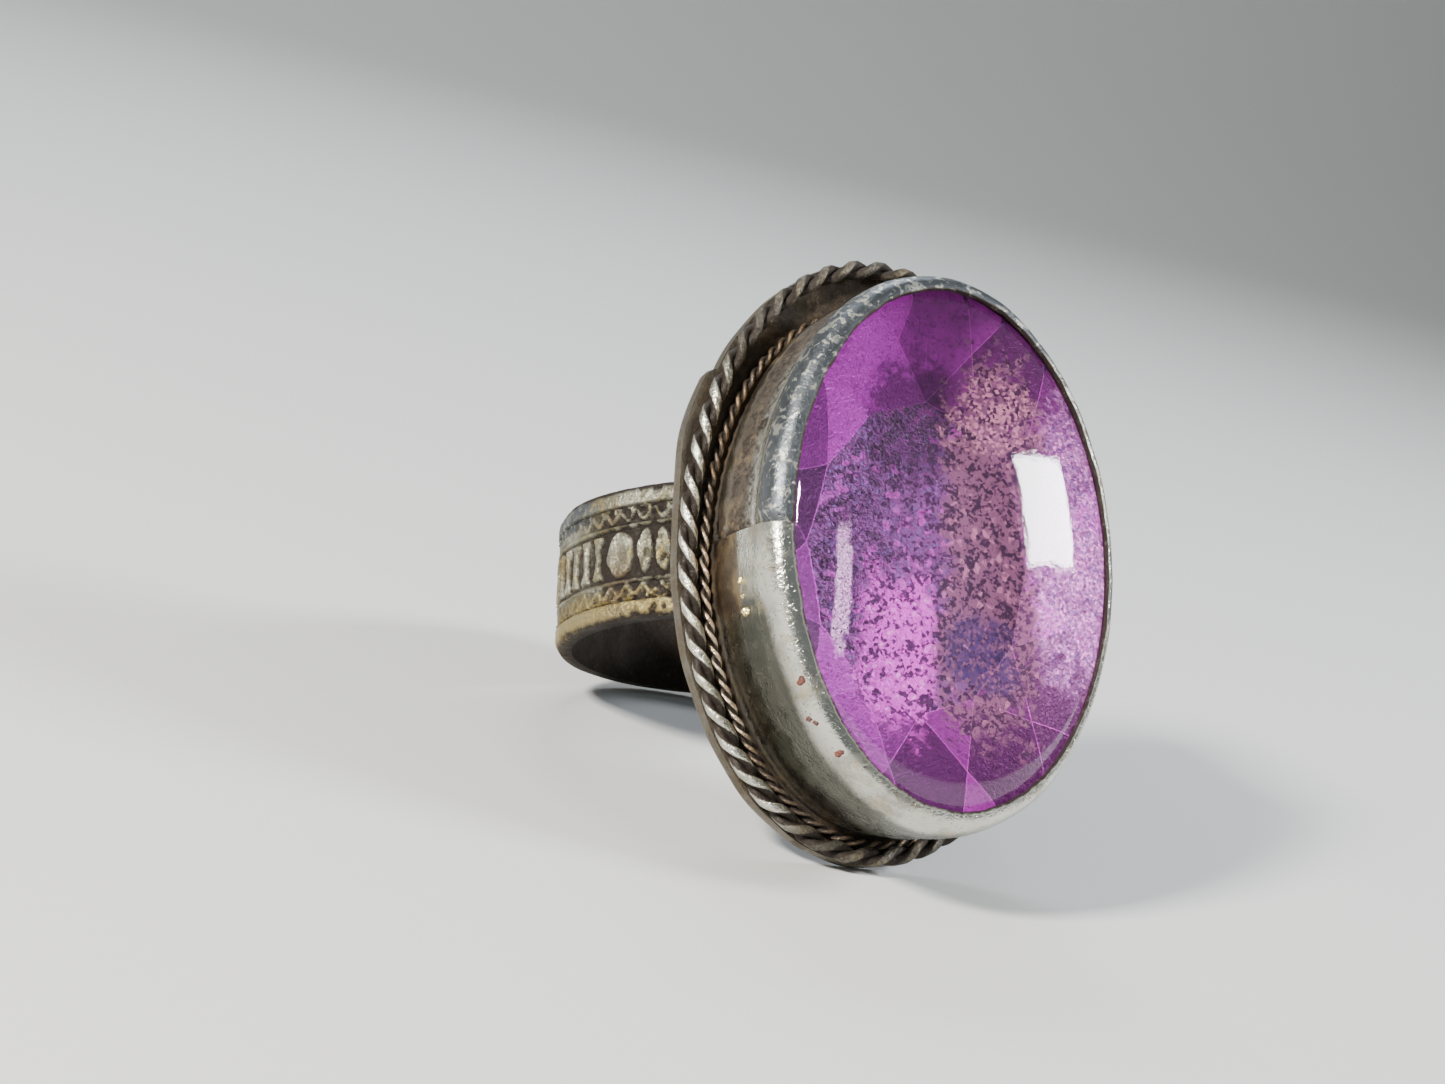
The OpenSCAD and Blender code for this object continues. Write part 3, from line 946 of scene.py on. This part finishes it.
@dataclass
class BuffTopStone:
    """A glass stone with a domed top, cut into facets at its back as a gem cutter would.

    Each back facet is marked with its tone, which paints light and shade on the facets: low for a
    facet painted in shade, 1 for one painted as lit, and more for the pale line where two facets meet.
    """

    placing: Placing
    half: Pair
    girdle_top: float
    girdle: float = 0.5
    dome: float = 2.8
    back: float = 3.3
    table: float = 0.56
    kite: float = 0.78
    mains: int = 12
    # The angles, in degrees, of the facets painted as lit and of two stretches painted in shade.
    painted_lit_at: float = 122.0
    painted_shade_at: float = 178.0
    shaded_at: float = 312.0
    edge_width: float = 0.018
    steps_round: int = 192
    dome_steps: int = 32

    def rough(self) -> BMesh:
        """The uncut stone in shares of its width: a dome on a straight-sided block."""

        def spot(i: int, k: int) -> GridPoint:
            """The place of one grid point, from the top of the dome to the rim of the underside."""
            angle = math.tau * (i % self.steps_round) / self.steps_round
            fall = math.pi / 2 * min(k / self.dome_steps, 1.0)
            height = self.dome * math.cos(fall) if k <= self.dome_steps else -self.girdle - self.back
            out = math.sin(fall)
            return Vector((out * math.cos(angle), out * math.sin(angle), height)), ()

        return BentGrid(self.steps_round, self.dome_steps + 1, spot, ()).build()

    def cut(self, bm: BMesh, angle: float, share: float, drop: float, fall: float) -> None:
        """Cuts one flat facet and closes it.

        Args:
            bm: the stone.
            angle: the facet's direction, in radians.
            share: how far out a point of the facet lies.
            drop: how far below the girdle that point lies, in millimetres.
            fall: how much the facet falls towards the middle, in millimetres per share of width.
        """
        out = Vector((math.cos(angle), math.sin(angle), 0.0))
        normal = (out * fall - Vector((0, 0, 1.0))).normalized()
        point = out * share - Vector((0, 0, self.girdle + drop))
        geometry = [*bm.verts, *bm.edges, *bm.faces]
        cut = bmesh.ops.bisect_plane(
            bm, geom=geometry, dist=1e-6, plane_co=point, plane_no=normal, clear_outer=True
        )
        rim = [item for item in cut["geom_cut"] if isinstance(item, bmesh.types.BMEdge)]
        if len(rim) > 2:
            bmesh.ops.holes_fill(bm, edges=rim, sides=0)

    def cut_back(self, bm: BMesh) -> None:
        """Cuts the main facets and, between them, the steep and the shallow ones."""
        step = math.tau / self.mains
        fall = self.back / (1 - self.table)
        corner_drop = fall * (1 - self.kite * math.cos(step / 2))
        steep = corner_drop / (math.cos(step / 8) - self.kite)
        shallow = (self.back - corner_drop) / (self.kite - self.table * math.cos(step / 2))
        for number in range(self.mains):
            self.cut(bm, number * step, 1.0, 0.0, fall)
        for number in range(self.mains):
            self.cut(bm, (number + 0.5) * step, self.kite, corner_drop, steep)
            self.cut(bm, (number + 0.5) * step, self.kite, corner_drop, shallow)
        bmesh.ops.remove_doubles(bm, verts=bm.verts, dist=1e-5)
        bmesh.ops.recalc_face_normals(bm, faces=bm.faces)

    def facet_light_and_tone(self, middle: Vector) -> float:
        """The foil's tone on the facet that has this middle, in millimetres: painted light and shade,
        with random unevenness.
        """
        degrees = math.degrees(math.atan2(middle.y / self.half[1], middle.x / self.half[0])) % 360.0
        # Painted light and shade: facets near the first angle are painted as lit, those near the other
        # two painted in shade.
        fresh = ridge(degrees - self.painted_lit_at, 16.0, 6.0)
        dull = ridge(degrees - self.painted_shade_at, 34.0, 10.0)
        shaded = ridge(degrees - self.shaded_at, 22.0, 10.0)
        uneven = 0.7 * (1 - fresh) * wobble(middle, 0.37, 5.0)
        return 0.38 + 0.62 * fresh - 0.34 * dull - 0.22 * shaded + uneven

    def build(self, glass: Material, foil: Material) -> None:
        """Cuts the stone, marks its foiled facets and builds it in place of its CAD node."""
        bm = self.rough()
        self.cut_back(bm)
        bm.transform(Matrix.Diagonal((self.half[0], self.half[1], 1.0, 1.0)))
        bm.normal_update()
        # The tone layer holds each facet's painted light and shade.
        tone = bm.faces.layers.float.new("tone")
        facet = bm.faces.layers.float.new("facet")
        foiled = [
            face for face in bm.faces
            if face.normal.z < -0.05 and face.calc_center_median().z < -self.girdle + 1e-4
        ]
        for face in foiled:
            face.material_index = 1
            face.smooth = False
            face[facet] = float(face.normal.z > -0.999)
            face[tone] = self.facet_light_and_tone(face.calc_center_median())
        backs = set(foiled)
        creases = [edge for edge in bm.edges if backs.issuperset(edge.link_faces)]
        made = bmesh.ops.bevel(
            bm, geom=creases, offset=self.edge_width, offset_type="OFFSET", affect="EDGES",
            segments=1, profile=0.5, material=-1,
        )
        for face in made["faces"]:
            face[tone] = 1.5
        to_row = self.placing.head() @ Matrix.Translation((0.0, 0.0, self.girdle_top))
        nodes = ["glass_stone"]
        finish_piece(bm, "buff_top_stone", to_row, [glass, foil], nodes, 12.0)


# --- small pieces


@dataclass
class Drops:
    """Small uneven drops of solder or lac on the bezel.

    Each spot holds an angle in degrees, a stand-off from the stone's opening, a height over the
    plate's back and a radius, all three in millimetres.
    """

    placing: Placing
    half: Pair
    name: str
    slot: str
    spots: Sequence[tuple[float, float, float, float]]
    nodes: Sequence[str] = ()

    def build(self, finish: Material) -> None:
        """Builds the drops as one piece."""
        bm = bmesh.new()
        relief = bm.verts.layers.float.new("relief")
        for degrees, stand, height, radius in self.spots:
            spot = oval_spot((self.half[0] + stand, self.half[1] + stand), math.radians(degrees))
            spot.z = height
            for vert in bmesh.ops.create_icosphere(bm, subdivisions=3, radius=radius)["verts"]:
                vert.co *= 1 + 0.5 * wobble(vert.co / radius + spot, 1.5, 3.0)
                vert.co += spot
                vert[relief] = 0.9
        for face in bm.faces:
            face.smooth = True
        finish_piece(bm, self.name, self.placing.head(), [finish], self.nodes)


# --- studio


def looking_in(azimuth: float, elevation: float, away: float, aim: Vector, roll: float = 0.0) -> Matrix:
    """A placing that looks at a point from a direction.

    Args:
        azimuth: 0 in front of the ring and 90 at its right, in degrees.
        elevation: the height over the horizon, in degrees.
        away: the distance from the point, in metres.
        aim: the point.
        roll: a turn about the line of sight, in degrees.

    Returns:
        The placing's matrix.
    """
    a, e = math.radians(azimuth), math.radians(elevation)
    back = Vector((math.sin(a) * math.cos(e), -math.cos(a) * math.cos(e), math.sin(e)))
    turn = back.to_track_quat("Z", "Y").to_matrix().to_4x4()
    return Matrix.Translation(aim + back * away) @ turn @ Matrix.Rotation(math.radians(roll), 4, "Z")


@dataclass(frozen=True)
class Lamp:
    """A soft lamp that faces the ring."""

    name: str
    azimuth: float
    elevation: float
    size: Pair
    watts: float
    colour: Colour
    away: float = 0.35
    roll: float = 0.0

    def build(self) -> None:
        """Hangs the lamp."""
        data = bpy.data.lights.new(self.name, "AREA")
        data.shape = "RECTANGLE"
        data.size, data.size_y = self.size
        data.energy = self.watts
        data.color = self.colour
        lamp = add_object(self.name, data)
        lamp.matrix_world = looking_in(self.azimuth, self.elevation, self.away, Vector(), self.roll)


@dataclass
class Studio:
    """The floor, the lamps and the camera."""

    floor_z: float
    target: Vector = field(default_factory=lambda: Vector((-9.43, -11.84, 5.30)) * MM)
    azimuth: float = -29.37
    elevation: float = 11.92
    roll: float = 16.18
    distance: float = 134.2 * MM
    lens: float = 72.3
    lamps: Sequence[Lamp] = (
        Lamp("key", -68.0, 34.0, (0.05, 0.05), 2.8, (1.0, 0.96, 0.90)),
        Lamp("window", 67.6, 33.0, (0.108, 0.066), 1.5, (0.95, 0.97, 1.0), roll=-27.5),
        Lamp("rim", 170.0, 50.0, (0.15, 0.05), 0.5, (0.85, 0.92, 1.0)),
    )

    def camera(self) -> None:
        """A camera that leans a little to the side."""
        data = bpy.data.cameras.new("view")
        data.lens = self.lens
        data.sensor_width = 36.0
        data.clip_start = 0.005
        data.clip_end = 10.0
        camera = add_object("view", data)
        camera.matrix_world = looking_in(
            self.azimuth, self.elevation, self.distance, self.target, self.roll
        )
        bpy.context.scene.camera = camera

    def floor(self, finish: Material) -> None:
        """A pale sheet that sweeps up behind the ring."""
        half_width, front, back, sweep, wall = 1.2, 0.6, 0.35, 0.25, 0.5
        length = front + back + wall + sweep
        bm = bmesh.new()
        bmesh.ops.create_grid(bm, x_segments=8, y_segments=96, size=0.5)
        for vert in bm.verts:
            along = (vert.co.y + 0.5) * length - front
            past = max(along - back, 0.0)
            turn = min(past / sweep, math.pi / 2)
            rise = max(past - sweep * math.pi / 2, 0.0)
            y = min(along, back) + sweep * math.sin(turn)
            z = self.floor_z + sweep * (1 - math.cos(turn)) + rise
            vert.co = Vector((2 * half_width * vert.co.x, y, z))
        sheet = add_mesh("floor_sheet", bm, [finish])
        sheet.data.shade_smooth()

    def sky(self) -> None:
        """Soft even light from all round."""
        world = bpy.data.worlds.new("studio")
        world.use_nodes = True
        background = world.node_tree.nodes["Background"]
        background.inputs["Color"].default_value = (0.62, 0.70, 0.74, 1.0)
        background.inputs["Strength"].default_value = 0.30
        bpy.context.scene.world = world

    def build(self) -> None:
        """Sets up the whole studio."""
        self.camera()
        self.floor(StudioPaper().build())
        for lamp in self.lamps:
            lamp.build()
        self.sky()


# --- ring


@dataclass(frozen=True)
class RingSizes:
    """The ring's driving sizes in millimetres, beside those that the finger bore gives."""

    band_t: float = 0.9
    plate_t: float = 0.6
    bezel_h: float = 7.35
    opening: Pair = (8.8, 12.5)
    rim: Pair = (10.9, 15.15)
    plate_inset: float = 0.12
    rim_wire_d: float = 1.0
    foot_wire_d: float = 0.5
    foot_wire_out: float = 0.62
    girdle_out: float = 0.25
    girdle_under_lip: float = 1.05
    neck_share: float = 0.52


def grown(half: Pair, reach: float) -> Pair:
    """An oval's half sizes, grown by a reach on every side."""
    return half[0] + reach, half[1] + reach


def metals() -> dict[str, Material]:
    """The ring's metals, by the piece they are for."""
    finishes = (
        OldSilver(
            "band_metal", bright=(0.50, 0.48, 0.36), dull=(0.17, 0.168, 0.125), warm=(0.42, 0.31, 0.10),
            dark=(0.020, 0.014, 0.010), tarnish=0.80, warmth=0.5, polish=0.20, pitting=0.10,
            dents=0.035, relief_low=0.1, relief_high=0.85,
        ),
        # The plate's tones are far darker than the other silver's: tarnish, and painted shade where it
        # lies between the rim wire and the bezel.
        OldSilver(
            "shaded_plate_metal", bright=(0.22, 0.20, 0.16), dull=(0.13, 0.11, 0.085), warm=(0.20, 0.14, 0.08),
            soil_and_shade_colour=(0.085, 0.065, 0.045), tarnish=0.7, warmth=0.4, polish=0.38,
        ),
        OldSilver(
            "rim_metal", bright=(0.78, 0.76, 0.66), dull=(0.34, 0.33, 0.25), warm=(0.32, 0.26, 0.15),
            soil_and_shade_colour=(0.09, 0.075, 0.055), tarnish=0.5, warmth=0.35, polish=0.16, dents=0.04,
            relief_low=0.44, relief_high=1.0,
        ),
        # The near-black tone below is painted shade on the foot wire's darkened stretch.
        OldSilver(
            "foot_metal", bright=(0.80, 0.64, 0.48), dull=(0.30, 0.20, 0.15), warm=(0.40, 0.27, 0.14),
            soil_and_shade_colour=(0.06, 0.04, 0.03), tarnish=0.4, warmth=0.6, polish=0.25, relief_high=0.8,
        ),
        OldSilver(
            "bezel_metal", dull=(0.24, 0.235, 0.19), soil_and_shade_colour=(0.14, 0.095, 0.065), tarnish=0.45,
            warmth=0.36, grain_per_mm=1.2, polish=0.16, pitting=0.03, dents=0.015,
        ),
        OldSilver(
            "solder_metal", bright=(0.90, 0.78, 0.38), dull=(0.60, 0.48, 0.22),
            warm=(0.85, 0.60, 0.20), tarnish=0.2, warmth=0.6, polish=0.2,
        ),
    )
    return {finish.name: finish.build() for finish in finishes}


def main() -> None:
    """Builds the ring piece by piece, then the studio."""
    logging.basicConfig(level=logging.INFO, format="%(name)s %(message)s")
    bore = frame["record"]["mounts"][0]
    bore_r = bore["dims"]["r_mm"]
    size = RingSizes()
    band_r = bore_r + size.band_t
    placing = Placing(band_r, band_shift=1.3, rim_shift=0.9, rim_turn=-4.0, axis=Vector(bore["axis"]))
    metal = metals()
    lac = Lac().build()
    foil = AgedFoil("stone_foil", placing.head()).build()
    lip_z = size.plate_t + size.bezel_h
    neck_z = size.plate_t + size.neck_share * size.bezel_h

    ShankBand(placing, bore_r, band_r, bore["dims"]["length_mm"]).build(metal["band_metal"])
    BasePlate(placing, grown(size.rim, -size.plate_inset), size.plate_t).build(metal["shaded_plate_metal"])
    TwistedWire(
        placing.plate(), grown(size.rim, -size.rim_wire_d / 2), size.plate_t + size.rim_wire_d / 2,
        size.rim_wire_d, turns=25, sides=14, steps_per_turn=28, flatten=0.10, bright_middle=200.0,
        bright_half=38.0, darkening=0.75,
    ).build(
        ["rim_strand_a", "rim_strand_b"], ["rim_wire_a", "rim_wire_b"], "wire_silver",
        metal["rim_metal"],
    )
    # Painted shade: the foot wire is painted dark outside 184 to 212 degrees, in the gap between the
    # rim wire and the bezel.
    TwistedWire(
        placing.head(), grown(size.opening, size.foot_wire_out), size.plate_t + size.foot_wire_d / 2,
        size.foot_wire_d, turns=45, sides=10, steps_per_turn=16, bright_middle=198.0, bright_half=14.0,
    ).build(
        ["foot_strand_a", "foot_strand_b"], ["foot_wire_a", "foot_wire_b"], "wire_gilt",
        metal["foot_metal"],
    )
    Bezel(placing, size.opening, size.plate_t, size.bezel_h).build(metal["bezel_metal"])
    stone_half = grown(size.opening, size.girdle_out)
    BuffTopStone(placing, stone_half, lip_z - size.girdle_under_lip).build(StoneGlass().build(), foil)
    Drops(
        placing, size.opening, "solder_drops", "solder",
        [(190.0, 0.75, neck_z, 0.2), (193.2, 0.72, neck_z, 0.15), (196.4, 0.75, neck_z, 0.2)],
        ["seam_solder"],
    ).build(metal["solder_metal"])
    Drops(
        placing, size.opening, "lac_crumbs", "lac",
        [
            (213.5, 0.70, lip_z - 0.6, 0.22), (221.5, 0.90, lip_z - 0.95, 0.16),
            (223.0, 0.76, lip_z - 0.72, 0.19), (231.5, 0.66, lip_z - 0.56, 0.22),
        ],
    ).build(lac)

    unreplaced = {"shank_solder": metal["solder_metal"], "setting_bed": lac, "foil_backing": foil}
    for node, material in unreplaced.items():
        mesh = frame["nodes"][node].data
        mesh.materials.clear()
        mesh.materials.append(material)
        log.info("%s keeps its CAD shape", node)

    Studio(floor_z=cad_bounds[0][2]).build()


if __name__ == "__main__":
    main()
